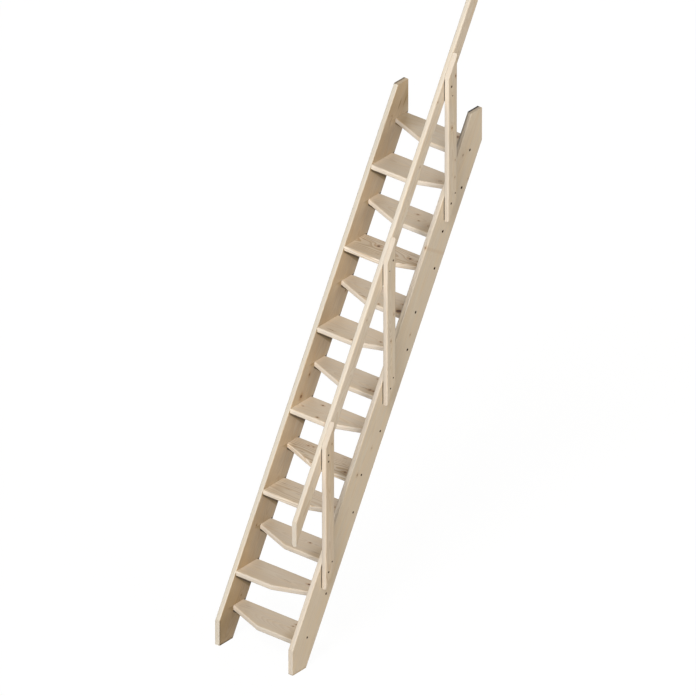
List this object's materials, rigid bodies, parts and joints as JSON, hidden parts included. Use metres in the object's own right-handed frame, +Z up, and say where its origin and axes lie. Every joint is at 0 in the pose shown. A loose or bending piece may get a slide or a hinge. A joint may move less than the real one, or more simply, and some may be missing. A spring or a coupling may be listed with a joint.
{
  "type": "alternating-tread loft stair",
  "caption": "Steep softwood loft stair: flat stringers, treads cut back on alternate sides, and one straight handrail on posts at the right.",
  "frame": {"origin": "centre of the left stringer's foot, on the floor", "axes": "+Z up, +Y horizontally into the stair, the way a person climbs, +X to the climber's right"},
  "size_m": [0.631, 1.7772, 3.9885],
  "materials": {
    "stringer_wood": "planed, unfinished spruce",
    "tread_wood": "planed, unfinished spruce",
    "rail_wood": "planed, unfinished spruce"
  },
  "bodies": {
    "root": {"left_stringer": "stringer_wood", "right_stringer": "stringer_wood", "tread_01": "tread_wood", "tread_02": "tread_wood", "tread_03": "tread_wood", "tread_04": "tread_wood", "tread_05": "tread_wood", "tread_06": "tread_wood", "tread_07": "tread_wood", "tread_08": "tread_wood", "tread_09": "tread_wood", "tread_10": "tread_wood", "tread_11": "tread_wood", "tread_12": "tread_wood", "tread_13": "tread_wood", "handrail": "rail_wood", "lower_post": "rail_wood", "middle_post": "rail_wood", "upper_post": "rail_wood"}
  },
  "joints": []
}
